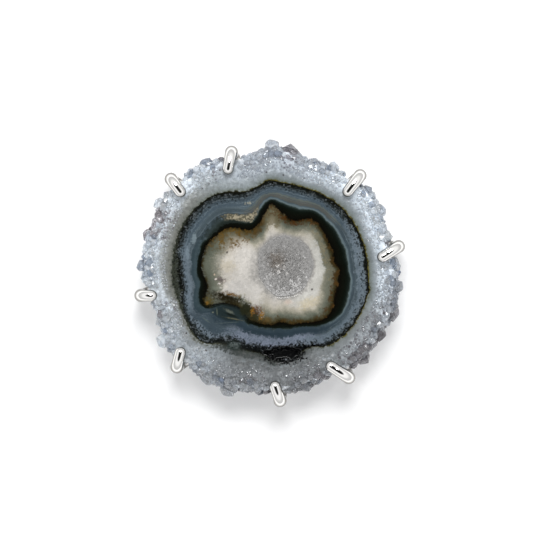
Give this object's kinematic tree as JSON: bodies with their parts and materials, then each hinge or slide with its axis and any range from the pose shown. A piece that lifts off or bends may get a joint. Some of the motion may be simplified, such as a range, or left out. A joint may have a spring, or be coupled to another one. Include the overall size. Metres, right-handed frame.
{
  "type": "amethyst stalactite slice",
  "caption": "Amethyst stalactite slice with agate bands and a druse core, edged in quartz crystals and held face up by silver claw prongs on a flat back ring.",
  "frame": {"origin": "centre of the whole object's box in X and Y, on the plane that the back ring rests on", "axes": "+Z out of the slice's sawn face, +X to the right and +Y to the top of that face as pictured"},
  "size_m": [0.0302, 0.0298, 0.0087],
  "materials": {
    "banded_quartz": "sawn and lightly polished face, natural crystals round the edge",
    "clear_quartz": "natural glassy crystal faces",
    "polished_silver": "bright hand polish"
  },
  "bodies": {
    "root": {"stalactite_slice": "banded_quartz", "core_crystals": "clear_quartz", "base_ring": "polished_silver", "prong_right": "polished_silver", "prong_upper_right": "polished_silver", "prong_top": "polished_silver", "prong_upper_left": "polished_silver", "prong_left": "polished_silver", "prong_lower_left": "polished_silver", "prong_bottom": "polished_silver", "prong_lower_right": "polished_silver"}
  },
  "joints": []
}
